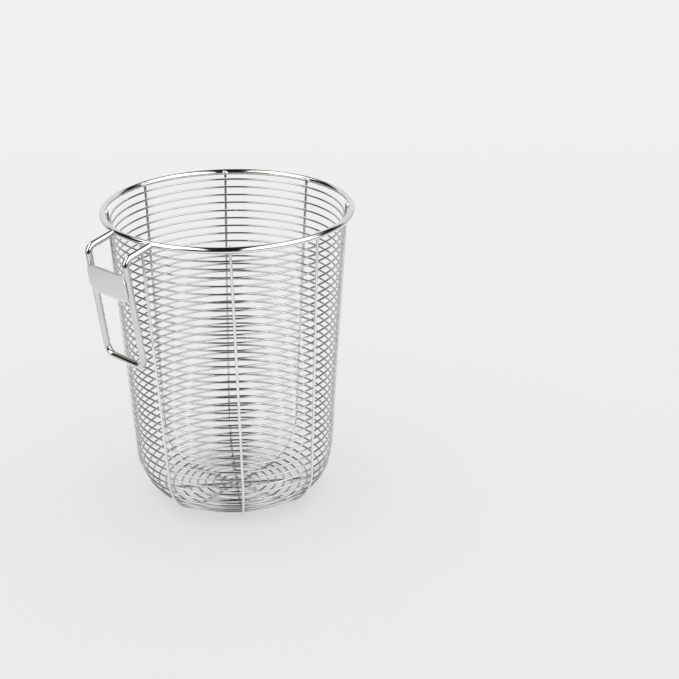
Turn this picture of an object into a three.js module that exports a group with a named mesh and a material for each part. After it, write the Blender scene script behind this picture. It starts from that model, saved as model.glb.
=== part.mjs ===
// Wire basket strainer: a deep tapered basket of round steel wire with a hook handle.
// Millimetres, +Z up. The origin is the middle of the base, on the plane that the basket
// stands on. The handle points towards -Y and is symmetric about the plane X = 0.
// Needs the npm packages three (0.186).

import * as THREE from "three";
import { mergeVertices } from "three/addons/utils/BufferGeometryUtils.js";

// ---- Driving dimensions ----------------------------------------------------------------

const OVERALL_HEIGHT = 192; // base plane to the top of the rim
const RIM_RADIUS = 76; // to the centre line of the rim wire

const RIM_WIRE = 4.0; // wire diameters
const HANDLE_WIRE = 4.2;
const RIB_WIRE = 1.7;
const HOOP_WIRE = 1.2;

const WALL_LEAN = THREE.MathUtils.degToRad(3.55); // the wall narrows towards the base
const CORNER_RADIUS = 26.4; // from wall to base, at the hoops' centre line

const HOOP_COUNT = 45;
const FIRST_HOOP_DROP = 3.4; // along the wall, below the rim's centre line
const LAST_HOOP_RADIUS = 4.7; // the smallest hoop, in the middle of the base

const RIB_COUNT = 8;
const RIB_PHASE = THREE.MathUtils.degToRad(7); // first rib at the base, from the handle's middle
const RIB_TWIST = THREE.MathUtils.degToRad(2.8); // each rib turns this much on its way down
const RIB_RISE = 1.0; // rib ends above the rim's centre line
const SPOKE_END_RADIUS = 3.5; // where the short ribs stop, beside the one that runs through

const HANDLE_HALF_WIDTH = 17; // arm centre line to the plane X = 0
const HANDLE_REACH = 94.2; // from the basket's axis to the corner of arm and leg
const HANDLE_WELD_DROP = 0.7; // arm centre line below the rim centre line, at the weld
const HANDLE_ARM_DROP = 4.1; // the arm falls this much on its way out
const HANDLE_LEG_HEIGHT = 69.7; // vertical height of the leg
const HANDLE_LEG_TUCK = 10.2; // the leg's foot is this much nearer the wall than its top
const HANDLE_SHOULDER_RADIUS = 4.5; // bend from arm to leg
const HANDLE_FOOT_RADIUS = 6; // bend from leg to cross bar

const PLATE_WIDTH = 35;
const PLATE_HEIGHT = 17.8;
const PLATE_THICKNESS = 1.0;
const PLATE_CORNER_RADIUS = 6;
const PLATE_CENTRE_DOWN_LEG = 17.6; // from the arm and leg corner, along the leg

const WIRE_CLEARANCE = 0.05; // between hoop and rib, before welding
const RIM_CLEARANCE = 0.15; // between rib and rim
const WELD_GAP = 0.3; // between the handle ends and the rim, filled by the weld
const PLATE_GAP = 0.15; // between the plate and the legs, before welding

// ---- Derived sizes ---------------------------------------------------------------------

const RIM_HEIGHT = OVERALL_HEIGHT - RIM_WIRE / 2;
const RIB_OFFSET = HOOP_WIRE / 2 + WIRE_CLEARANCE + RIB_WIRE / 2;
const WALL_TOP_RADIUS = RIM_RADIUS - RIM_WIRE / 2 - RIM_CLEARANCE - RIB_WIRE / 2 - RIB_OFFSET;
const FLOOR_HEIGHT = RIB_WIRE / 2 + RIB_OFFSET; // hoop centre line over the base plane

const CORNER_DROP = CORNER_RADIUS * (1 - Math.sin(WALL_LEAN));
const WALL_LENGTH = (RIM_HEIGHT - FLOOR_HEIGHT - CORNER_DROP) / Math.cos(WALL_LEAN);
const CORNER_ANGLE = Math.PI / 2 - WALL_LEAN;
const CORNER_LENGTH = CORNER_RADIUS * CORNER_ANGLE;
const CORNER_CENTRE = {
  r: WALL_TOP_RADIUS - WALL_LENGTH * Math.sin(WALL_LEAN) - CORNER_RADIUS * Math.cos(WALL_LEAN),
  z: FLOOR_HEIGHT + CORNER_RADIUS,
};
const PROFILE_LENGTH = WALL_LENGTH + CORNER_LENGTH + CORNER_CENTRE.r;
const Z_AXIS = new THREE.Vector3(0, 0, 1);

// ---- Materials -------------------------------------------------------------------------

const steel = (color, roughness) =>
  new THREE.MeshStandardMaterial({ color, roughness, metalness: 1 });
const rimSteel = steel(0xd9dadc, 0.12);
const hoopSteel = steel(0xcfd0d2, 0.18);
const ribSteel = steel(0xcdced0, 0.2);
const handleSteel = steel(0xd9dadc, 0.14);
const plateSteel = steel(0xc6c7c9, 0.38);

// ---- Basket profile --------------------------------------------------------------------

// A point of the basket's outline in the half plane (r, z): distance is measured along the
// hoops' centre line from the rim's height, down the wall, round the corner and in along
// the base. offset moves the point outwards, square to the outline.
function outlinePoint(distance, offset = 0) {
  let r = CORNER_CENTRE.r;
  let z = CORNER_CENTRE.z;
  let lean = Math.PI / 2;
  if (distance < WALL_LENGTH) {
    lean = WALL_LEAN;
    r = WALL_TOP_RADIUS - distance * Math.sin(lean);
    z = RIM_HEIGHT - distance * Math.cos(lean);
  } else if (distance < WALL_LENGTH + CORNER_LENGTH) {
    lean = WALL_LEAN + (distance - WALL_LENGTH) / CORNER_RADIUS;
    r += CORNER_RADIUS * Math.cos(lean);
    z -= CORNER_RADIUS * Math.sin(lean);
  } else {
    r = PROFILE_LENGTH - distance;
    z = FLOOR_HEIGHT;
  }
  return { r: r + offset * Math.cos(lean), z: z - offset * Math.sin(lean), lean };
}

// ---- Wire shapes -----------------------------------------------------------------------

function closedSurface(geometry) {
  geometry.deleteAttribute("normal");
  geometry.deleteAttribute("uv");
  const merged = mergeVertices(geometry, 1e-4);
  merged.computeVertexNormals();
  return merged;
}

// A path of straight steps between given stations, sampled exactly at the stations.
class StationPath extends THREE.Curve {
  constructor(stations) {
    super();
    this.stations = stations;
  }

  getPoint(t, target = new THREE.Vector3()) {
    const along = t * (this.stations.length - 1);
    const index = Math.min(Math.floor(along), this.stations.length - 2);
    return target.lerpVectors(this.stations[index], this.stations[index + 1], along - index);
  }

  getUtoTmapping(u) {
    return u;
  }
}

// A regular polygon with flat sides facing along x and y, drawn round the wire's circle.
function wireSection(diameter, sides) {
  const cornerRadius = diameter / 2 / Math.cos(Math.PI / sides);
  const corners = [];
  for (let i = 0; i < sides; i += 1) {
    const angle = ((i + 0.5) * 2 * Math.PI) / sides;
    corners.push(new THREE.Vector2(Math.cos(angle), Math.sin(angle)).multiplyScalar(cornerRadius));
  }
  return new THREE.Shape(corners);
}

function wireAlong(stations, diameter, sides = 8) {
  const extruded = new THREE.ExtrudeGeometry(wireSection(diameter, sides), {
    steps: stations.length - 1,
    extrudePath: new StationPath(stations),
    bevelEnabled: false,
  });
  return closedSurface(extruded);
}

// A closed hoop turned about the Z axis from section points given as [r, z].
function turnedHoop(section, segments) {
  const loop = [...section, section[0]].map(([r, z]) => new THREE.Vector2(r, z));
  return closedSurface(new THREE.LatheGeometry(loop, segments).rotateX(Math.PI / 2));
}

// Stations of a wire bent at each inner corner of a chain of straight legs.
function bentStations(corners, bendRadii, stepsPerBend = 6) {
  const stations = [corners[0]];
  for (let i = 1; i < corners.length - 1; i += 1) {
    const into = corners[i].clone().sub(corners[i - 1]).normalize();
    const out = corners[i + 1].clone().sub(corners[i]).normalize();
    const turn = into.angleTo(out);
    const radius = bendRadii[i - 1];
    const start = corners[i].clone().addScaledVector(into, -radius * Math.tan(turn / 2));
    const inwards = out.clone().addScaledVector(into, -Math.cos(turn)).normalize();
    for (let k = 0; k <= stepsPerBend; k += 1) {
      const angle = (turn * k) / stepsPerBend;
      const station = start.clone();
      station.addScaledVector(into, radius * Math.sin(angle));
      station.addScaledVector(inwards, radius * (1 - Math.cos(angle)));
      stations.push(station);
    }
  }
  stations.push(corners[corners.length - 1]);
  return stations;
}

// ---- Sub-parts -------------------------------------------------------------------------

function makeRim() {
  const section = wireSection(RIM_WIRE, 8).getPoints();
  const placed = section.map((corner) => [RIM_RADIUS + corner.x, RIM_HEIGHT + corner.y]);
  return turnedHoop(placed, 64);
}

// A hoop of the basket. Its square section has the area of the round wire, and its flat
// sides lie along the outline, where the ribs touch it.
function makeHoop(distance) {
  const halfSide = (HOOP_WIRE * Math.sqrt(Math.PI)) / 4;
  const { r, z, lean } = outlinePoint(distance);
  const outwards = [Math.cos(lean), -Math.sin(lean)];
  const upwards = [Math.sin(lean), Math.cos(lean)];
  const signs = [[1, -1], [1, 1], [-1, 1], [-1, -1]];
  const section = signs.map(([a, b]) => [
    r + halfSide * (a * outwards[0] + b * upwards[0]),
    z + halfSide * (a * outwards[1] + b * upwards[1]),
  ]);
  return turnedHoop(section, r > 30 ? 24 : 16);
}

// How far round the Z axis a rib lies from its place on the base, at a distance along the
// outline.
function ribTurn(distance) {
  return RIB_TWIST * (Math.min(distance / WALL_LENGTH, 1) - 1);
}

// One side of a rib from its top down to the base, which it meets in the plane Y = 0 on the
// +X side.
function ribStations(endRadius) {
  const cornerSteps = 8;
  const distances = [-RIB_RISE];
  for (let k = 0; k <= cornerSteps; k += 1) {
    distances.push(WALL_LENGTH + (CORNER_LENGTH * k) / cornerSteps);
  }
  distances.push(PROFILE_LENGTH - endRadius);
  return distances.map((distance) => {
    const { r, z } = outlinePoint(distance, RIB_OFFSET);
    return new THREE.Vector3(r, 0, z).applyAxisAngle(Z_AXIS, ribTurn(distance));
  });
}

function makeShortRib() {
  return wireAlong(ribStations(SPOKE_END_RADIUS), RIB_WIRE);
}

function makeThroughRib() {
  const right = ribStations(0);
  const left = right.slice(0, -1).reverse();
  const opposite = left.map((station) => new THREE.Vector3(-station.x, -station.y, station.z));
  return wireAlong([...right, ...opposite], RIB_WIRE);
}

// The corners of the handle's right arm and leg, from the rim outwards and down.
function handleSide(side) {
  const x = side * HANDLE_HALF_WIDTH;
  const innerEdge = HANDLE_HALF_WIDTH - HANDLE_WIRE / 2;
  const rimFace = Math.sqrt((RIM_RADIUS + RIM_WIRE / 2) ** 2 - innerEdge ** 2);
  const weldHeight = RIM_HEIGHT - HANDLE_WELD_DROP;
  const shoulder = weldHeight - HANDLE_ARM_DROP;
  return [
    new THREE.Vector3(x, -rimFace - WELD_GAP, weldHeight),
    new THREE.Vector3(x, -HANDLE_REACH, shoulder),
    new THREE.Vector3(x, -HANDLE_REACH + HANDLE_LEG_TUCK, shoulder - HANDLE_LEG_HEIGHT),
  ];
}

function makeHandle() {
  const corners = [...handleSide(-1), ...handleSide(1).reverse()];
  const shoulder = HANDLE_SHOULDER_RADIUS;
  const foot = HANDLE_FOOT_RADIUS;
  return wireAlong(bentStations(corners, [shoulder, foot, foot, shoulder]), HANDLE_WIRE, 12);
}

function makePlate() {
  const x = PLATE_WIDTH / 2;
  const y = PLATE_HEIGHT / 2;
  const radius = PLATE_CORNER_RADIUS;
  const outline = new THREE.Shape();
  outline.absarc(x - radius, y - radius, radius, 0, Math.PI / 2);
  outline.absarc(-x + radius, y - radius, radius, Math.PI / 2, Math.PI);
  outline.absarc(-x + radius, -y + radius, radius, Math.PI, Math.PI * 1.5);
  outline.absarc(x - radius, -y + radius, radius, Math.PI * 1.5, Math.PI * 2);
  outline.closePath();
  const sheet = { depth: PLATE_THICKNESS, bevelEnabled: false, curveSegments: 6 };
  return closedSurface(new THREE.ExtrudeGeometry(outline, sheet));
}

// ---- Assembly --------------------------------------------------------------------------

const basket = new THREE.Group();

function add(name, geometry, material, parent = basket) {
  const mesh = new THREE.Mesh(geometry, material);
  mesh.name = name;
  parent.add(mesh);
  return mesh;
}

add("rim_ring", makeRim(), rimSteel);

// Hoops and ribs share one turned group, and each hoop is turned as far as the ribs are at
// its height, so that the ribs meet the hoops at their corners.
const wirework = new THREE.Group();
wirework.rotation.z = -Math.PI / 2 + RIB_PHASE;
basket.add(wirework);

const hoopSpan = PROFILE_LENGTH - LAST_HOOP_RADIUS - FIRST_HOOP_DROP;
for (let i = 0; i < HOOP_COUNT; i += 1) {
  const distance = FIRST_HOOP_DROP + (hoopSpan * i) / (HOOP_COUNT - 1);
  const name = `hoop_${String(i + 1).padStart(2, "0")}`;
  add(name, makeHoop(distance), hoopSteel, wirework).rotation.z = ribTurn(distance);
}

add("rib_through", makeThroughRib(), ribSteel, wirework);
for (let i = 1; i < RIB_COUNT; i += 1) {
  if (i !== RIB_COUNT / 2) {
    const rib = add(`rib_${i}`, makeShortRib(), ribSteel, wirework);
    rib.rotation.z = (2 * Math.PI * i) / RIB_COUNT;
  }
}

add("hook_handle", makeHandle(), handleSteel);

// The plate lies on the outer side of both legs, square to them.
const legTop = handleSide(1)[1];
const legDown = handleSide(1)[2].clone().sub(legTop).normalize();
const plate = add("handle_plate", makePlate(), plateSteel);
plate.rotation.x = Math.PI / 2 + Math.atan2(HANDLE_LEG_TUCK, HANDLE_LEG_HEIGHT);
const plateOutwards = new THREE.Vector3(0, legDown.z, -legDown.y);
plate.position.set(0, legTop.y, legTop.z);
plate.position.addScaledVector(new THREE.Vector3(0, legDown.y, legDown.z), PLATE_CENTRE_DOWN_LEG);
plate.position.addScaledVector(plateOutwards, HANDLE_WIRE / 2 + PLATE_GAP);

export default basket;
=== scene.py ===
import functools
import math
from typing import NamedTuple

import bpy
import numpy as np
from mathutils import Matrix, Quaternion, Vector


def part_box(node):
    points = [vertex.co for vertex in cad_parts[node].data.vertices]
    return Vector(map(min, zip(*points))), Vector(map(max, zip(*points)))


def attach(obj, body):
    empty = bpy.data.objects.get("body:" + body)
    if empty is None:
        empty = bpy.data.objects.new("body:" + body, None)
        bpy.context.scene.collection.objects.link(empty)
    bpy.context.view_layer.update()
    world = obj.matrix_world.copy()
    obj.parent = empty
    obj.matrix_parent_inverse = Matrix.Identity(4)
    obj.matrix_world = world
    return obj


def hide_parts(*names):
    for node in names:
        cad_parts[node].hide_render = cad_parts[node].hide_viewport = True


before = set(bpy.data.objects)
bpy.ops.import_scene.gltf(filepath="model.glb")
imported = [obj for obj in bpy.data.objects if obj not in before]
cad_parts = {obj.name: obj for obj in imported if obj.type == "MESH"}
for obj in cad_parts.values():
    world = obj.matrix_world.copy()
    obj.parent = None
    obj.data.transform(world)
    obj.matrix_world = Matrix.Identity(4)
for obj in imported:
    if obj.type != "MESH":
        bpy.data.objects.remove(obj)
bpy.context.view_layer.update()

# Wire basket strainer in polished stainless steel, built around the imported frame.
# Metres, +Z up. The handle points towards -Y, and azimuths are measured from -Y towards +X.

MM = 0.001
UM = 0.000001
SEED = 45

# ---- Sizes of the CAD model ------------------------------------------------------------

rim_low, rim_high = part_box("rim_ring")
RIM_WIRE = rim_high.z - rim_low.z
RIM_HEIGHT = rim_high.z - RIM_WIRE / 2
RIM_RADIUS = rim_high.x - RIM_WIRE / 2

HANDLE_WIRE = 4.2 * MM
RIB_WIRE = 1.7 * MM
HOOP_WIRE = 1.2 * MM

WALL_LEAN = math.radians(3.55)
CORNER_RADIUS = 26.4 * MM
HOOP_COUNT = 45
FIRST_HOOP_DROP = 3.4 * MM
LAST_HOOP_RADIUS = 4.7 * MM

RIB_COUNT = 8
RIB_PHASE = math.radians(7)
RIB_TWIST = math.radians(2.8)
RIB_RISE = 1.0 * MM
SPOKE_END_RADIUS = 3.5 * MM

HANDLE_HALF_WIDTH = 17 * MM
HANDLE_REACH = 94.2 * MM
HANDLE_WELD_DROP = 0.7 * MM
HANDLE_ARM_DROP = 4.1 * MM
HANDLE_LEG_HEIGHT = 69.7 * MM
HANDLE_LEG_TUCK = 10.2 * MM
HANDLE_SHOULDER_RADIUS = 4.5 * MM
HANDLE_FOOT_RADIUS = 6 * MM

PLATE_WIDTH = 35 * MM
PLATE_HEIGHT = 17.8 * MM
PLATE_THICKNESS = 1.0 * MM
PLATE_CORNER_RADIUS = 6 * MM
PLATE_CENTRE_DOWN_LEG = 17.6 * MM

WIRE_CLEARANCE = 0.05 * MM
RIM_CLEARANCE = 0.15 * MM
PLATE_GAP = 0.15 * MM

RIB_OFFSET = HOOP_WIRE / 2 + WIRE_CLEARANCE + RIB_WIRE / 2
WALL_TOP_RADIUS = RIM_RADIUS - RIM_WIRE / 2 - RIM_CLEARANCE - RIB_WIRE / 2 - RIB_OFFSET
FLOOR_HEIGHT = RIB_WIRE / 2 + RIB_OFFSET
CORNER_DROP = CORNER_RADIUS * (1 - math.sin(WALL_LEAN))
WALL_LENGTH = (RIM_HEIGHT - FLOOR_HEIGHT - CORNER_DROP) / math.cos(WALL_LEAN)
CORNER_LENGTH = CORNER_RADIUS * (math.pi / 2 - WALL_LEAN)
CORNER_CENTRE_R = (
    WALL_TOP_RADIUS - WALL_LENGTH * math.sin(WALL_LEAN) - CORNER_RADIUS * math.cos(WALL_LEAN)
)
PROFILE_LENGTH = WALL_LENGTH + CORNER_LENGTH + CORNER_CENTRE_R

# ---- Finish of the real wires and sheet ------------------------------------------------

RIM_INSET = 0.06 * MM  # keeps the rim's waviness inside the CAD box
RIM_WAVE = 0.05 * MM  # out of round
RIM_WEAR = 0.02 * MM  # off the wire's radius
RIM_SEAM_AZIMUTH = math.radians(157)
RIM_SEAM_SWELL = 0.05 * MM
RIM_SEAM_LENGTH = 1.6 * MM

HOOP_SHIFT = 0.10 * MM  # spread of the hoops' places along the ribs
HOOP_TILT = 0.10 * MM
HOOP_WAVE = 0.05 * MM  # out of round
HOOP_RIPPLE = 0.4 * HOOP_WAVE  # the same, in five shorter waves

WELD_SINK = 0.9 * MM  # how far the handle's ends run into the weld at the rim

PLATE_EDGE_ROUND = 0.22 * MM
PLATE_EDGE_ANGLES = (0.5, 1.0)  # where the round edge has its lines, in radians
PLATE_FACE_INSETS = (4 * MM, 1.6 * MM)  # lines that keep the flat faces flat
PLATE_LEAST_CORNER = 0.5 * MM

# ---- Weld metal ------------------------------------------------------------------------


class Weld(NamedTuple):
    half_sizes: tuple  # along its three axes
    around: int  # facets round it
    rings: int  # rows of facets from end to end
    lump: float  # height of its lumps, as a share of its size


HOOP_JOINT = Weld((0.7 * MM, 0.68 * MM, 0.68 * MM), around=10, rings=6, lump=0.03)
CROSSING_WELD = Weld((0.95 * MM, 0.42 * MM, 0.72 * MM), around=8, rings=5, lump=0.06)
RIM_WELD = Weld((1.9 * MM, 1.4 * MM, 1.75 * MM), around=16, rings=10, lump=0.08)
HANDLE_WELD = Weld((2.8 * MM, 2.9 * MM, 1.65 * MM), around=28, rings=16, lump=0.05)
PLATE_WELD = Weld((1.0 * MM, 0.75 * MM, 0.6 * MM), around=14, rings=9, lump=0.08)

LUMP_WAVES = 3
LUMP_FREQUENCY = 3.5  # in radians over a weld's half size
CROSSING_WELD_SPREAD = 0.1  # in size, either way
RIM_WELD_OUT = 0.1 * MM  # from the rim's inner side
RIM_WELD_DROP = 0.1 * MM  # from the middle of the rim's wire
HANDLE_WELD_IN = 2.0 * MM  # from the rim's outer side
HANDLE_WELD_RISE = 0.6 * MM
PLATE_WELD_IN = 1.3 * MM  # from the middle of the leg, towards the plate's middle
PLATE_WELD_LAP = 0.5 * MM  # under the plate's edge
PLATE_WELD_SINK = 0.45 * MM  # behind the plate's inner face

# ---- Fineness of the meshes ------------------------------------------------------------

HEAVY_WIRE_SIDES = 28
RIB_SIDES = 14
HOOP_SIDES = 12
DOME_ANGLES = (25, 50, 70, 84)  # where a domed wire end has its rings, in degrees
NEARLY_UPRIGHT = 0.1  # level part of a wire's direction
RIM_STEPS = 360
HOOP_STEPS_PER_RADIUS = 2.4 / MM
LEAST_HOOP_STEPS = 48
RIB_WALL_STEPS = 33
RIB_CORNER_STEPS = 21
RIB_FLOOR_STEPS = 7
HANDLE_LEG_STEPS = 8
BEND_STEPS = 13
PLATE_CORNER_STEPS = 9

# ---- Steel -----------------------------------------------------------------------------

# Each colour is given where it is lightest and where it is darkest.
BRIGHT = ((0.64, 0.633, 0.622), (0.58, 0.573, 0.562))
DULL = ((0.465, 0.46, 0.453), (0.40, 0.395, 0.388))
WARM = ((0.55, 0.537, 0.52), (0.495, 0.483, 0.465))
SATIN = ((0.685, 0.683, 0.68), (0.64, 0.638, 0.635))
BEAD = ((0.76, 0.755, 0.745), (0.62, 0.61, 0.59))
CLOUD_SIZE = 14 * MM
ROUGHNESS_SPREAD = 0.2  # either way
NOISE_RANGE = (0.3, 0.7)  # most of a noise lies between these


class Grain(NamedTuple):
    wavelengths: tuple  # along the three axes of the straightened wire or sheet
    depth: float


class Finish(NamedTuple):
    name: str
    colour: tuple
    roughness: float
    grain: Grain
    wave: float  # wavelength of the unevenness
    wave_depth: float


DRAWN = Grain((0.35 * MM, 0.35 * MM, 30 * MM), depth=2 * UM)
BRUSHED = Grain((9 * MM, 0.16 * MM, 0.5 * MM), depth=4 * UM)
MOLTEN = Grain((0.9 * MM, 0.9 * MM, 0.9 * MM), depth=30 * UM)

RIM_STEEL = Finish("polished_rim", BRIGHT, 0.09, DRAWN, wave=9 * MM, wave_depth=20 * UM)
HANDLE_STEEL = Finish("polished_handle", WARM, 0.10, DRAWN, wave=8 * MM, wave_depth=30 * UM)
HOOP_STEEL = Finish("drawn_hoop", DULL, 0.09, DRAWN, wave=7 * MM, wave_depth=30 * UM)
RIB_STEEL = Finish("drawn_rib", BRIGHT, 0.10, DRAWN, wave=7 * MM, wave_depth=30 * UM)
PLATE_STEEL = Finish("satin_plate", SATIN, 0.32, BRUSHED, wave=12 * MM, wave_depth=40 * UM)
WELD_STEEL = Finish("weld_bead", BEAD, 0.28, MOLTEN, wave=2 * MM, wave_depth=80 * UM)

# ---- The view --------------------------------------------------------------------------

VIEW_AZIMUTH = math.radians(44.7)
VIEW_PITCH = math.radians(22.87)
VIEW_ROLL = math.radians(-0.43)
VIEW_DISTANCE = 1048.0 * MM
VIEW_AIM_RIGHT = 67.9 * MM
VIEW_AIM_HEIGHT = 102.5 * MM
VIEW_LENS = 87.88
SENSOR_WIDTH = 36

TOWARDS_CAMERA = Vector((math.sin(VIEW_AZIMUTH), -math.cos(VIEW_AZIMUTH), 0))
CAMERA_RIGHT = Vector((math.cos(VIEW_AZIMUTH), math.sin(VIEW_AZIMUTH), 0))

# ---- The floor and the studio ----------------------------------------------------------

STAGE_HALF_SIZE = 30.0
STAGE_ROUGHNESS = 0.9

# Painted shade: the floor's tone is darker from the back towards the camera.
FLOOR_BACK_TONE = 0.883
FLOOR_SHADED_FRONT_TONE = 0.833
FLOOR_SHADE_BACK_TO_FRONT = (-1.2, 0.3)  # in metres towards the camera
FLOOR_HORIZON = (1.8, 6)  # where its tone turns into the room's, in metres from the middle
FLOOR_PAINTED_GLOW = 0.5  # share of the floor's tone that it gives off as a painted glow, which makes the shadows on it fainter

ROOM_LIGHT = 0.86  # soft light from all round
OVERHEAD_LIGHT = 0.31  # more of it from above
OVERHEAD_EDGE = (0.55, 0.95)

# The white table top that the steel mirrors, seen in nothing else. Its tone is a painted
# reflection: brighter than white, painted dark in front of the camera and painted with shade at
# the sides.
TABLE_TONE = 1.28
TABLE_PAINTED_DARK_TONE = 0.03
TABLE_FRONT_EDGE = (0.40, 0.54)  # in metres towards the camera
TABLE_SIDE_SHADE_SHARE = 0.45  # of its tone, out at the sides, where it is painted with shade
TABLE_SIDE_SHADE_EDGE = (0.22, 0.50)
TABLE_HEIGHT = 0.02 * MM

# The room that the steel mirrors. An edge is where a stretch fades in, as the part of a
# unit direction that points towards the camera, away from it, aside or up.
SOFTBOX_LIGHT = 3.3
BACKDROP_LIGHT = 1.3
ROOM_DARK = 0.02
SOFTBOX_FOOT = (-0.14, -0.04)
SOFTBOX_BACK = (-0.46, -0.36)
CAMERA_GAP_EDGE = (0.20, 0.30)
PERSON_SIDE = (0.16, 0.22)
PERSON_FRONT = (0.72, 0.80)
PERSON_TOP = (0.38, 0.46)
SIDE_GAP_FRONT = (0.055, 0.135)
SIDE_GAP_SLANT = 0.105
SIDE_GAP_TOP = (0.62, 0.72)
BACKDROP_SIDE = (0.52, 0.64)
BACKDROP_FOOT = (-0.3, -0.1)
BACKDROP_TOP = (0.55, 0.65)


# ---- Mesh building ---------------------------------------------------------------------


def unit(vectors):
    return vectors / np.linalg.norm(vectors, axis=-1, keepdims=True)


def cross_directions(tangents, closed):
    """Two directions square to each tangent, which turn as little as they can."""
    if closed:
        first = unit(np.cross(tangents, (0.0, 0.0, 1.0)))
    else:
        first = np.empty_like(tangents)
        aside = np.cross(tangents[0], (0.0, 0.0, 1.0))
        if np.linalg.norm(aside) < NEARLY_UPRIGHT:
            aside = np.cross(tangents[0], (0.0, 1.0, 0.0))
        for i, tangent in enumerate(tangents):
            aside = aside - tangent * (aside @ tangent)
            aside = aside / np.linalg.norm(aside)
            first[i] = aside
    return first, np.cross(tangents, first)


def with_domed_ends(points, radii):
    """Adds stations past both ends, so that a wire ends in a dome."""
    lifts = np.radians(DOME_ANGLES)
    start = unit(points[0] - points[1])
    end = unit(points[-1] - points[-2])
    before = points[0] + start * radii[0] * np.sin(lifts[::-1])[:, None]
    after = points[-1] + end * radii[-1] * np.sin(lifts)[:, None]
    radii_before = radii[0] * np.cos(lifts[::-1])
    radii_after = radii[-1] * np.cos(lifts)
    return (
        np.concatenate([before, points, after]),
        np.concatenate([radii_before, radii, radii_after]),
    )


def wire_shape(points, radius, sides, closed=False):
    """Vertices, faces and straightened coordinates of a round wire along a line."""
    radii = np.broadcast_to(radius, len(points)).astype(float)
    if closed:
        tangents = unit(np.roll(points, -1, 0) - np.roll(points, 1, 0))
    else:
        points, radii = with_domed_ends(points, radii)
        tangents = unit(np.gradient(points, axis=0))
    first, second = cross_directions(tangents, closed)
    angles = 2 * np.pi * np.arange(sides) / sides
    across = np.stack([np.cos(angles), np.sin(angles)], 1)
    ring = across[:, 0, None] * first[:, None] + across[:, 1, None] * second[:, None]
    vertices = points[:, None] + ring * radii[:, None, None]
    steps = np.linalg.norm(np.diff(points, axis=0), axis=1)
    along = np.concatenate([[0.0], np.cumsum(steps)])
    straight = np.empty(vertices.shape)
    straight[..., :2] = across[None] * radii[:, None, None]
    straight[..., 2] = along[:, None]
    count = len(points)
    faces = []
    for i in range(count if closed else count - 1):
        here, there = i * sides, (i + 1) % count * sides
        for k in range(sides):
            k2 = (k + 1) % sides
            faces.append((here + k, here + k2, there + k2, there + k))
    if not closed:
        faces.append(tuple(range(sides))[::-1])
        faces.append(tuple((count - 1) * sides + k for k in range(sides)))
    return vertices.reshape(-1, 3), faces, straight.reshape(-1, 3)


def weld_shape(weld, centre, axes, random, size=1.0):
    """A lumpy closed nugget of weld metal, with its half sizes along three axes."""
    polar = np.pi * np.arange(1, weld.rings) / weld.rings
    turn = 2 * np.pi * np.arange(weld.around) / weld.around
    polar_grid, turn_grid = np.meshgrid(polar, turn, indexing="ij")
    ball = np.stack(
        [
            np.sin(polar_grid) * np.cos(turn_grid),
            np.sin(polar_grid) * np.sin(turn_grid),
            np.cos(polar_grid),
        ],
        -1,
    ).reshape(-1, 3)
    ball = np.concatenate([[[0, 0, 1.0]], ball, [[0, 0, -1.0]]])
    for _ in range(LUMP_WAVES):
        direction = unit(random.normal(size=3))
        phase = random.uniform(0, 2 * np.pi)
        swell = weld.lump * np.sin(LUMP_FREQUENCY * ball @ direction + phase)
        ball = ball * (1 + swell)[:, None]
    half_sizes = np.array(weld.half_sizes) * size
    vertices = np.asarray(centre) + (ball * half_sizes) @ np.asarray(axes)
    last = len(ball) - 1
    faces = []
    for k in range(weld.around):
        k2 = (k + 1) % weld.around
        faces.append((0, 1 + k, 1 + k2))
        faces.append((last, last - weld.around + k2, last - weld.around + k))
        for row in range(weld.rings - 2):
            here, there = 1 + row * weld.around, 1 + (row + 1) * weld.around
            faces.append((here + k, there + k, there + k2, here + k2))
    return vertices, faces, ball * np.mean(half_sizes)


def joined(shapes):
    """Several shapes as one list of vertices, faces and straightened coordinates."""
    vertices, faces, straight, start = [], [], [], 0
    for shape_vertices, shape_faces, shape_straight in shapes:
        vertices.append(shape_vertices)
        straight.append(shape_straight)
        faces.extend(tuple(start + i for i in face) for face in shape_faces)
        start += len(shape_vertices)
    return np.concatenate(vertices), faces, np.concatenate(straight)


def add_piece(name, shape, material, nodes=()):
    """A piece that rides on the basket and stands for the CAD nodes given. Its mesh keeps
    the straightened coordinates, which the steel's grain follows."""
    vertices, faces, straight = shape
    mesh = bpy.data.meshes.new(name)
    mesh.from_pydata(vertices.tolist(), [], faces)
    mesh.shade_smooth()
    wire = mesh.attributes.new("wire", "FLOAT_VECTOR", "POINT")
    wire.data.foreach_set("vector", straight.astype(np.float32).ravel())
    mesh.materials.append(material)
    piece = bpy.data.objects.new(name, mesh)
    bpy.context.scene.collection.objects.link(piece)
    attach(piece, "root")
    if nodes:
        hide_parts(*nodes)


# ---- Basket ----------------------------------------------------------------------------


def outline(distance, offset=0.0):
    """Radius, height and lean of the basket's outline, as in the CAD model."""
    distance = np.asarray(distance, float)
    bend = np.clip((distance - WALL_LENGTH) / CORNER_RADIUS, 0, math.pi / 2 - WALL_LEAN)
    lean = WALL_LEAN + bend
    on_wall = np.minimum(distance, WALL_LENGTH)
    on_floor = np.maximum(distance - WALL_LENGTH - CORNER_LENGTH, 0)
    radius = WALL_TOP_RADIUS - on_wall * math.sin(WALL_LEAN) - on_floor
    radius = radius - CORNER_RADIUS * (math.cos(WALL_LEAN) - np.cos(lean))
    height = RIM_HEIGHT - on_wall * math.cos(WALL_LEAN)
    height = height - CORNER_RADIUS * (np.sin(lean) - math.sin(WALL_LEAN))
    return radius + offset * np.cos(lean), height - offset * np.sin(lean), lean


def at_azimuth(radius, azimuth, height):
    azimuth = np.asarray(azimuth)
    return np.stack(
        np.broadcast_arrays(radius * np.sin(azimuth), -radius * np.cos(azimuth), height), -1
    )


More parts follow.
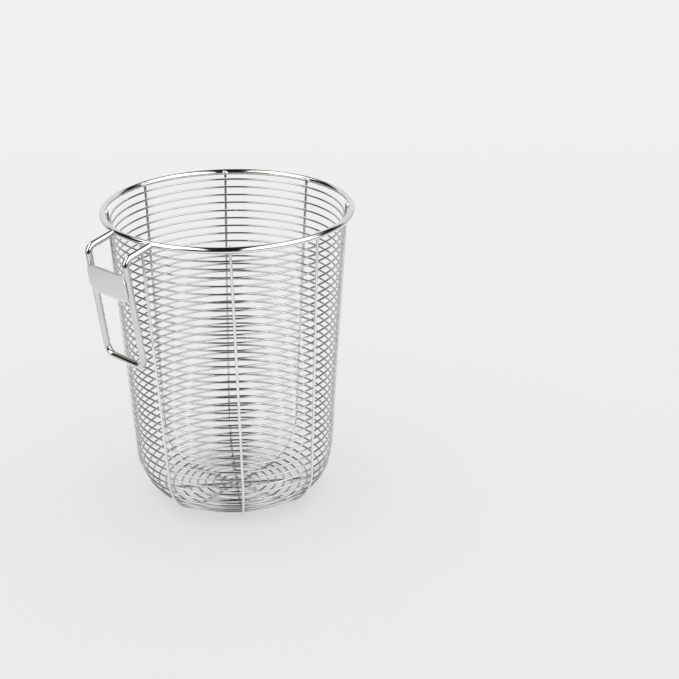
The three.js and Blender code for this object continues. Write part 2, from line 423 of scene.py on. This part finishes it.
def level_axes(azimuth):
    """The sideways, outward and upward directions at an azimuth."""
    sideways = np.array((math.cos(azimuth), math.sin(azimuth), 0.0))
    outwards = np.array((math.sin(azimuth), -math.cos(azimuth), 0.0))
    return sideways, outwards, np.array((0.0, 0.0, 1.0))


def rib_azimuth(index, distance):
    on_base = RIB_PHASE + 2 * math.pi * index / RIB_COUNT
    return on_base - RIB_TWIST * (1 - np.minimum(np.asarray(distance) / WALL_LENGTH, 1))


def hoop_distance(index):
    span = PROFILE_LENGTH - LAST_HOOP_RADIUS - FIRST_HOOP_DROP
    return FIRST_HOOP_DROP + span * index / (HOOP_COUNT - 1)


def rib_line(index, end_radius):
    """One side of a rib from its top to its end on the base."""
    corner_end = WALL_LENGTH + CORNER_LENGTH
    wall = np.linspace(-RIB_RISE, WALL_LENGTH, RIB_WALL_STEPS + 1)[:-1]
    corner = np.linspace(WALL_LENGTH, corner_end, RIB_CORNER_STEPS + 1)[:-1]
    floor = np.linspace(corner_end, PROFILE_LENGTH - end_radius, RIB_FLOOR_STEPS + 1)
    distance = np.concatenate([wall, corner, floor])
    radius, height, _ = outline(distance, RIB_OFFSET)
    return at_azimuth(radius, rib_azimuth(index, distance), height)


def make_ribs(material):
    """The ribs. The first runs under the base and up the other side, as its opposite."""
    opposite = RIB_COUNT // 2
    for index in range(RIB_COUNT):
        if index == 0:
            near = rib_line(0, 0.0)
            far = rib_line(opposite, 0.0)
            line = np.concatenate([near, far[-2::-1]])
            name, node = "through_rib", "rib_through"
        elif index == opposite:
            continue
        else:
            line = rib_line(index, SPOKE_END_RADIUS)
            name, node = f"rib_wire_{index}", f"rib_{index}"
        add_piece(name, wire_shape(line, RIB_WIRE / 2, RIB_SIDES), material, [node])


def hoop_line(distance, random):
    """A hoop's line, a little out of true, and the azimuth of its joint."""
    mean_radius, _, _ = outline(distance)
    steps = max(LEAST_HOOP_STEPS, int(mean_radius * HOOP_STEPS_PER_RADIUS))
    turn = 2 * np.pi * np.arange(steps) / steps
    tilt_phase, wave_phase, joint_azimuth = random.uniform(0, 2 * np.pi, 3)
    shift = np.clip(random.normal(0, HOOP_SHIFT), -2 * HOOP_SHIFT, 2 * HOOP_SHIFT)
    share = min(1.0, mean_radius / WALL_TOP_RADIUS)
    around = distance + shift + HOOP_TILT * share * np.cos(turn - tilt_phase)
    bulge = HOOP_WAVE * share * np.cos(2 * turn - wave_phase)
    bulge = bulge + HOOP_RIPPLE * share * np.cos(5 * turn + tilt_phase)
    radius, height, _ = outline(around, bulge - HOOP_WAVE)
    return at_azimuth(radius, turn, height), joint_azimuth


def make_hoops(material, random):
    """The hoops. Returns the weld metal of the butt joint of each one."""
    joints = []
    for index in range(HOOP_COUNT):
        line, joint_azimuth = hoop_line(hoop_distance(index), random)
        number = f"{index + 1:02d}"
        shape = wire_shape(line, HOOP_WIRE / 2, HOOP_SIDES, closed=True)
        add_piece(f"hoop_wire_{number}", shape, material, [f"hoop_{number}"])
        steps = len(line)
        at = int(joint_azimuth / (2 * np.pi) * steps) % steps
        along = unit(line[(at + 1) % steps] - line[at - 1])
        side = unit(np.cross(along, (0.0, 0.0, 1.0)))
        axes = (along, side, np.cross(along, side))
        joints.append(weld_shape(HOOP_JOINT, line[at], axes, random))
    return joints


def make_spot_welds(material, random, joints):
    """The nugget at each crossing of hoop and rib, and the hoops' own butt joints."""
    nuggets = list(joints)
    for index in range(HOOP_COUNT):
        distance = hoop_distance(index)
        radius, height, lean = outline(distance, HOOP_WIRE / 2 + WIRE_CLEARANCE / 2)
        for rib in range(RIB_COUNT):
            sideways, outwards, upwards = level_axes(float(rib_azimuth(rib, distance)))
            normal = outwards * math.cos(lean) - upwards * math.sin(lean)
            axes = (sideways, normal, np.cross(sideways, normal))
            centre = outwards * radius + upwards * height
            size = random.uniform(1 - CROSSING_WELD_SPREAD, 1 + CROSSING_WELD_SPREAD)
            nuggets.append(weld_shape(CROSSING_WELD, centre, axes, random, size))
    add_piece("spot_welds", joined(nuggets), material)


def make_rim(material, random):
    """The rim ring, with the slight swelling of its ground butt weld at the back."""
    turn = 2 * np.pi * np.arange(RIM_STEPS) / RIM_STEPS
    out_of_round = RIM_WAVE * np.cos(2 * turn + random.uniform(0, 2 * np.pi))
    line = at_azimuth(RIM_RADIUS - RIM_INSET + out_of_round, turn, RIM_HEIGHT)
    from_seam = (turn - RIM_SEAM_AZIMUTH) * RIM_RADIUS
    swell = RIM_SEAM_SWELL * np.exp(-((from_seam / RIM_SEAM_LENGTH) ** 2))
    radii = RIM_WIRE / 2 - RIM_WEAR + swell
    shape = wire_shape(line, radii, HEAVY_WIRE_SIDES, closed=True)
    add_piece("rim_wire", shape, material, ["rim_ring"])


def make_rim_welds(material, random):
    """The weld at the top of each rib, on the inner side of the rim."""
    radius = RIM_RADIUS - RIM_WIRE / 2 + RIM_WELD_OUT
    nuggets = []
    for rib in range(RIB_COUNT):
        axes = level_axes(float(rib_azimuth(rib, 0)))
        _, outwards, upwards = axes
        centre = outwards * radius + upwards * (RIM_HEIGHT - RIM_WELD_DROP)
        nuggets.append(weld_shape(RIM_WELD, centre, axes, random))
    add_piece("rim_welds", joined(nuggets), material)


# ---- Handle ----------------------------------------------------------------------------


def handle_corners(side):
    """Arm end, shoulder corner and foot corner of one side of the handle."""
    x = side * HANDLE_HALF_WIDTH
    rim_face = math.sqrt((RIM_RADIUS + RIM_WIRE / 2) ** 2 - HANDLE_HALF_WIDTH**2)
    weld_height = RIM_HEIGHT - HANDLE_WELD_DROP
    shoulder = weld_height - HANDLE_ARM_DROP
    foot_reach = HANDLE_REACH - HANDLE_LEG_TUCK
    return [
        np.array((x, -rim_face, weld_height)),
        np.array((x, -HANDLE_REACH, shoulder)),
        np.array((x, -foot_reach, shoulder - HANDLE_LEG_HEIGHT)),
    ]


def bent_line(corners, bend_radii):
    """A line of straight legs with an arc at each inner corner."""
    line = [corners[0]]
    for i, radius in enumerate(bend_radii, 1):
        into = unit(corners[i] - corners[i - 1])
        out = unit(corners[i + 1] - corners[i])
        turn = math.acos(float(into @ out))
        start = corners[i] - into * radius * math.tan(turn / 2)
        inwards = unit(out - into * math.cos(turn))
        add_leg(line, start)
        for angle in np.linspace(0, turn, BEND_STEPS + 1):
            arc = into * math.sin(angle) + inwards * (1 - math.cos(angle))
            line.append(start + arc * radius)
    add_leg(line, corners[-1])
    line.append(corners[-1])
    return np.array(line)


def add_leg(line, end):
    """Adds evenly spaced points to a line, short of the end given."""
    step = (end - line[-1]) / HANDLE_LEG_STEPS
    for _ in range(HANDLE_LEG_STEPS - 1):
        line.append(line[-1] + step)


def make_handle(material):
    left, right = handle_corners(-1), handle_corners(1)
    for ends in (left, right):
        ends[0] = ends[0] - unit(ends[1] - ends[0]) * WELD_SINK
    corners = [*left, *right[::-1]]
    bends = [HANDLE_SHOULDER_RADIUS, HANDLE_FOOT_RADIUS]
    line = bent_line(corners, bends + bends[::-1])
    shape = wire_shape(line, HANDLE_WIRE / 2, HEAVY_WIRE_SIDES)
    add_piece("handle_wire", shape, material, ["hook_handle"])


def make_handle_welds(material, random):
    """The bead at each end of the handle, laid over the top of the rim."""
    beads = []
    for side in (-1, 1):
        end, shoulder, _ = handle_corners(side)
        along = unit(shoulder - end)
        sideways = np.array((1.0, 0.0, 0.0))
        upwards = np.cross(sideways, along)
        centre = end - along * HANDLE_WELD_IN + upwards * HANDLE_WELD_RISE
        axes = (sideways, along, upwards)
        beads.append(weld_shape(HANDLE_WELD, centre, axes, random))
    add_piece("handle_welds", joined(beads), material)


def plate_frame():
    """Centre of the plate's inner face, and its sideways, upward and outward axes."""
    _, shoulder, foot = handle_corners(1)
    down = unit(foot - shoulder)
    outwards = np.array((0.0, down[2], -down[1]))
    middle = np.array((0.0, shoulder[1], shoulder[2]))
    centre = middle + down * PLATE_CENTRE_DOWN_LEG
    centre = centre + outwards * (HANDLE_WIRE / 2 + PLATE_GAP)
    return centre, np.array((1.0, 0.0, 0.0)), -down, outwards


def rounded_outline(width, height, radius):
    """Points round a rectangle with round corners, anticlockwise."""
    points = []
    corners = ((1, 1, 0), (-1, 1, 90), (-1, -1, 180), (1, -1, 270))
    for sign_x, sign_y, start in corners:
        centre = np.array((sign_x * (width / 2 - radius), sign_y * (height / 2 - radius)))
        for angle in np.radians(np.linspace(start, start + 90, PLATE_CORNER_STEPS + 1)):
            points.append(centre + radius * np.array((math.cos(angle), math.sin(angle))))
    return np.array(points)


def plate_levels():
    """Inset and height of each line round the plate, from its inner to its outer face."""
    edge = PLATE_EDGE_ROUND
    levels = [(inset, 0.0) for inset in (*PLATE_FACE_INSETS, edge)]
    levels += [(edge * (1 - math.sin(a)), edge * (1 - math.cos(a))) for a in PLATE_EDGE_ANGLES]
    levels += [(0.0, edge)]
    return levels + [(inset, PLATE_THICKNESS - rise) for inset, rise in reversed(levels)]


def make_plate(material):
    """A stamped plate, with flat faces and round edges."""
    centre, sideways, upwards, outwards = plate_frame()
    levels = plate_levels()
    vertices, straight = [], []
    for inset, level in levels:
        width, height = PLATE_WIDTH - 2 * inset, PLATE_HEIGHT - 2 * inset
        radius = max(PLATE_CORNER_RADIUS - inset, PLATE_LEAST_CORNER)
        for x, y in rounded_outline(width, height, radius):
            vertices.append(centre + sideways * x + upwards * y + outwards * level)
            straight.append((x, y, level))
    rows = len(levels)
    count = len(vertices) // rows
    faces = [tuple(range(count))[::-1]]
    for row in range(rows - 1):
        here, there = row * count, (row + 1) * count
        for k in range(count):
            k2 = (k + 1) % count
            faces.append((here + k, here + k2, there + k2, there + k))
    faces.append(tuple((rows - 1) * count + k for k in range(count)))
    shape = (np.array(vertices), faces, np.array(straight))
    add_piece("handle_plate_sheet", shape, material, ["handle_plate"])


def make_plate_welds(material, random):
    """A short bead where each leg passes under the plate's upper and lower edge."""
    centre, sideways, upwards, outwards = plate_frame()
    axes = (sideways, upwards, outwards)
    beads = []
    for side in (-1, 1):
        for end in (-1, 1):
            place = centre + sideways * side * (HANDLE_HALF_WIDTH - PLATE_WELD_IN)
            place = place + upwards * end * (PLATE_HEIGHT / 2 - PLATE_WELD_LAP)
            place = place - outwards * PLATE_WELD_SINK
            beads.append(weld_shape(PLATE_WELD, place, axes, random))
    add_piece("plate_welds", joined(beads), material)


# ---- Materials -------------------------------------------------------------------------


def add_node(tree, kind, inputs=None, **settings):
    """A shader node. An input is a value, or an output socket to link it to."""
    made = tree.nodes.new(kind)
    for name, value in settings.items():
        setattr(made, name, value)
    for name, value in (inputs or {}).items():
        if isinstance(value, bpy.types.NodeSocket):
            tree.links.new(value, made.inputs[name])
        else:
            made.inputs[name].default_value = value
    return made


def noise(tree, place, wavelengths, detail):
    """Noise from 0 to 1 with its own wavelength along each axis of place, in metres."""
    scale = [1 / wavelength for wavelength in wavelengths]
    scaled = add_node(tree, "ShaderNodeMapping", {"Vector": place, "Scale": scale})
    inputs = {"Vector": scaled.outputs[0], "Scale": 1.0, "Detail": detail}
    return add_node(tree, "ShaderNodeTexNoise", inputs).outputs["Fac"]


def between(tree, value, low, high, edge=NOISE_RANGE):
    """Runs from low to high as the value goes from one side of the edge to the other."""
    inputs = {
        "Value": value,
        "From Min": edge[0],
        "From Max": edge[1],
        "To Min": low,
        "To Max": high,
    }
    return add_node(tree, "ShaderNodeMapRange", inputs).outputs["Result"]


def math_node(tree, operation, *values):
    inputs = dict(enumerate(values))
    return add_node(tree, "ShaderNodeMath", inputs, operation=operation).outputs[0]


def along(tree, place, axis):
    inputs = {0: place, 1: axis}
    made = add_node(tree, "ShaderNodeVectorMath", inputs, operation="DOT_PRODUCT")
    return made.outputs["Value"]


def bump(tree, height, depth, normal=None):
    inputs = {"Height": height, "Strength": 1.0, "Distance": depth}
    if normal is not None:
        inputs["Normal"] = normal
    return add_node(tree, "ShaderNodeBump", inputs).outputs["Normal"]


def steel(finish):
    """Bare stainless steel. Its grain follows the straightened wire or sheet."""
    light, dark = finish.colour
    material = bpy.data.materials.new(finish.name)
    material.use_nodes = True
    tree = material.node_tree
    shader = tree.nodes["Principled BSDF"]
    shader.inputs["Metallic"].default_value = 1.0
    place = add_node(tree, "ShaderNodeTexCoord").outputs["Object"]
    wire = add_node(tree, "ShaderNodeAttribute", attribute_name="wire").outputs["Vector"]
    lines = noise(tree, wire, finish.grain.wavelengths, detail=3.0)
    waves = noise(tree, place, [finish.wave] * 3, detail=2.0)
    clouds = noise(tree, place, [CLOUD_SIZE] * 3, detail=4.0)
    # A mix of colours takes its share at input 0 and the colours at 6 and 7, and gives
    # the mixed one at output 2.
    inputs = {0: between(tree, clouds, 0, 1), 6: (*dark, 1), 7: (*light, 1)}
    mixed = add_node(tree, "ShaderNodeMix", inputs, data_type="RGBA")
    tree.links.new(mixed.outputs[2], shader.inputs["Base Color"])
    smoothest = (1 - ROUGHNESS_SPREAD) * finish.roughness
    roughest = (1 + ROUGHNESS_SPREAD) * finish.roughness
    tree.links.new(between(tree, lines, smoothest, roughest), shader.inputs["Roughness"])
    fine = bump(tree, lines, finish.grain.depth)
    tree.links.new(bump(tree, waves, finish.wave_depth, fine), shader.inputs["Normal"])
    return material


# ---- Stage: floor, studio and camera ---------------------------------------------------


def stage_plane(name, height):
    """A wide level plane, which isn't part of the object."""
    size = STAGE_HALF_SIZE
    corners = [(-size, -size), (size, -size), (size, size), (-size, size)]
    mesh = bpy.data.meshes.new(name)
    mesh.from_pydata([(x, y, height) for x, y in corners], [], [tuple(range(len(corners)))])
    plane = bpy.data.objects.new(name, mesh)
    bpy.context.scene.collection.objects.link(plane)
    return plane


def matt_material(name):
    """A matt material, with its node tree, its shader and the place on its surface."""
    material = bpy.data.materials.new(name)
    material.use_nodes = True
    tree = material.node_tree
    shader = tree.nodes["Principled BSDF"]
    shader.inputs["Roughness"].default_value = STAGE_ROUGHNESS
    shader.inputs["Specular IOR Level"].default_value = 0.0
    place = add_node(tree, "ShaderNodeTexCoord").outputs["Object"]
    return material, tree, shader, place


def paint_grey(tree, shader, tone):
    colour = add_node(tree, "ShaderNodeCombineColor", {0: tone, 1: tone, 2: tone})
    tree.links.new(colour.outputs[0], shader.inputs["Base Color"])


def make_floor():
    """A wide pale floor, with painted shade that makes it darker towards the camera and a painted
    glow that makes the shadows on it fainter. It turns into the room's own tone at the horizon.
    """
    floor = stage_plane("floor", 0)
    material, tree, shader, place = matt_material("pale_floor")
    near = along(tree, place, TOWARDS_CAMERA)
    out = add_node(tree, "ShaderNodeVectorMath", {0: place}, operation="LENGTH").outputs["Value"]
    # Painted shade: darker towards the camera.
    tone = between(tree, near, FLOOR_BACK_TONE, FLOOR_SHADED_FRONT_TONE, FLOOR_SHADE_BACK_TO_FRONT)
    tone = between(tree, out, tone, ROOM_LIGHT, FLOOR_HORIZON)
    paint_grey(tree, shader, math_node(tree, "MULTIPLY", tone, 1 - FLOOR_PAINTED_GLOW))
    # Painted glow: this share of the tone is given off as emission, so the shadows on the floor
    # are fainter.
    shader.inputs["Emission Color"].default_value = (1, 1, 1, 1)
    painted_glow = math_node(tree, "MULTIPLY", tone, FLOOR_PAINTED_GLOW)
    tree.links.new(painted_glow, shader.inputs["Emission Strength"])
    floor.data.materials.append(material)
    floor.visible_glossy = False


def make_table():
    """The white table top that stands for the floor in the steel's reflections, as a painted
    reflection. It is painted dark in front of the camera and painted with shade at the sides."""
    table = stage_plane("table_reflection", TABLE_HEIGHT)
    material, tree, shader, place = matt_material("painted_reflection_table")
    near = along(tree, place, TOWARDS_CAMERA)
    sideways = math_node(tree, "ABSOLUTE", along(tree, place, CAMERA_RIGHT))
    # Painted reflection: dark in front of the camera, with painted shade at the sides.
    front = between(tree, near, TABLE_TONE, TABLE_PAINTED_DARK_TONE, TABLE_FRONT_EDGE)
    share = between(tree, sideways, 1, TABLE_SIDE_SHADE_SHARE, TABLE_SIDE_SHADE_EDGE)
    paint_grey(tree, shader, math_node(tree, "MULTIPLY", front, share))
    table.data.materials.append(material)
    for ray in ("camera", "diffuse", "transmission", "volume_scatter", "shadow"):
        setattr(table, f"visible_{ray}", False)


def make_world():
    """Plain soft light from all round. The steel mirrors a dark room instead, with a soft
    box over its front half and its ceiling, and a dimmer backdrop behind the object. The
    box has a gap along the camera's line, one for a person at the camera's left, and a low
    one at each side."""
    world = bpy.data.worlds.new("studio")
    bpy.context.scene.world = world
    world.use_nodes = True
    tree = world.node_tree
    direction = add_node(tree, "ShaderNodeTexCoord").outputs["Generated"]

    def past(value, edge):
        inputs = {"Value": value, "From Min": edge[0], "From Max": edge[1]}
        made = add_node(tree, "ShaderNodeMapRange", inputs, interpolation_type="SMOOTHSTEP")
        return made.outputs["Result"]

    def all_of(*masks):
        return functools.reduce(lambda one, other: math_node(tree, "MULTIPLY", one, other), masks)

    def any_of(*masks):
        return functools.reduce(lambda one, other: math_node(tree, "MAXIMUM", one, other), masks)

    def opposite(value):
        return math_node(tree, "SUBTRACT", 1.0, value)

    def negative(value):
        return math_node(tree, "MULTIPLY", value, -1.0)

    towards = along(tree, direction, TOWARDS_CAMERA)
    aside = along(tree, direction, CAMERA_RIGHT)
    up = along(tree, direction, (0, 0, 1))
    beside_camera_gap = past(math_node(tree, "ABSOLUTE", aside), CAMERA_GAP_EDGE)
    person = all_of(past(negative(aside), PERSON_SIDE), past(towards, PERSON_FRONT))
    clear_of_person = any_of(opposite(person), past(up, PERSON_TOP))
    slant = math_node(tree, "MULTIPLY", aside, SIDE_GAP_SLANT)
    ahead = math_node(tree, "ADD", towards, slant)
    clear_of_side_gaps = any_of(past(ahead, SIDE_GAP_FRONT), past(up, SIDE_GAP_TOP))
    softbox = all_of(
        past(up, SOFTBOX_FOOT),
        past(towards, SOFTBOX_BACK),
        beside_camera_gap,
        clear_of_person,
        clear_of_side_gaps,
    )
    backdrop = all_of(
        past(negative(towards), BACKDROP_SIDE),
        past(up, BACKDROP_FOOT),
        opposite(past(up, BACKDROP_TOP)),
    )
    softbox_level = between(tree, softbox, ROOM_DARK, SOFTBOX_LIGHT, (0, 1))
    backdrop_level = between(tree, backdrop, 0, BACKDROP_LIGHT, (0, 1))
    studio_level = any_of(softbox_level, backdrop_level)
    studio = add_node(tree, "ShaderNodeBackground", {"Strength": studio_level})

    overhead = past(up, OVERHEAD_EDGE)
    soft_level = between(tree, overhead, ROOM_LIGHT, ROOM_LIGHT + OVERHEAD_LIGHT, (0, 1))
    soft = tree.nodes["Background"]
    soft.inputs["Color"].default_value = (1, 1, 1, 1)
    tree.links.new(soft_level, soft.inputs["Strength"])
    mirrored = add_node(tree, "ShaderNodeLightPath").outputs["Is Glossy Ray"]
    inputs = {0: mirrored, 1: soft.outputs[0], 2: studio.outputs[0]}
    mix = add_node(tree, "ShaderNodeMixShader", inputs)
    tree.links.new(mix.outputs[0], tree.nodes["World Output"].inputs["Surface"])


def make_camera():
    back = TOWARDS_CAMERA * math.cos(VIEW_PITCH) + Vector((0, 0, math.sin(VIEW_PITCH)))
    aim = CAMERA_RIGHT * VIEW_AIM_RIGHT + Vector((0, 0, VIEW_AIM_HEIGHT))
    data = bpy.data.cameras.new("camera")
    data.lens = VIEW_LENS
    data.sensor_width = SENSOR_WIDTH
    camera = bpy.data.objects.new("camera", data)
    bpy.context.scene.collection.objects.link(camera)
    camera.location = aim + back * VIEW_DISTANCE
    camera.rotation_mode = "QUATERNION"
    roll = Quaternion((0, 0, 1), VIEW_ROLL)
    camera.rotation_quaternion = (-back).to_track_quat("-Z", "Y") @ roll
    bpy.context.scene.camera = camera


# ---- Assembly --------------------------------------------------------------------------

make_camera()
make_floor()
make_table()
make_world()
bpy.context.scene.view_settings.view_transform = "Standard"

weld_steel = steel(WELD_STEEL)
random = np.random.default_rng(SEED)
make_rim(steel(RIM_STEEL), random)
hoop_joints = make_hoops(steel(HOOP_STEEL), random)
make_ribs(steel(RIB_STEEL))
make_spot_welds(weld_steel, random, hoop_joints)
make_rim_welds(weld_steel, random)
make_handle(steel(HANDLE_STEEL))
make_handle_welds(weld_steel, random)
make_plate(steel(PLATE_STEEL))
make_plate_welds(weld_steel, random)
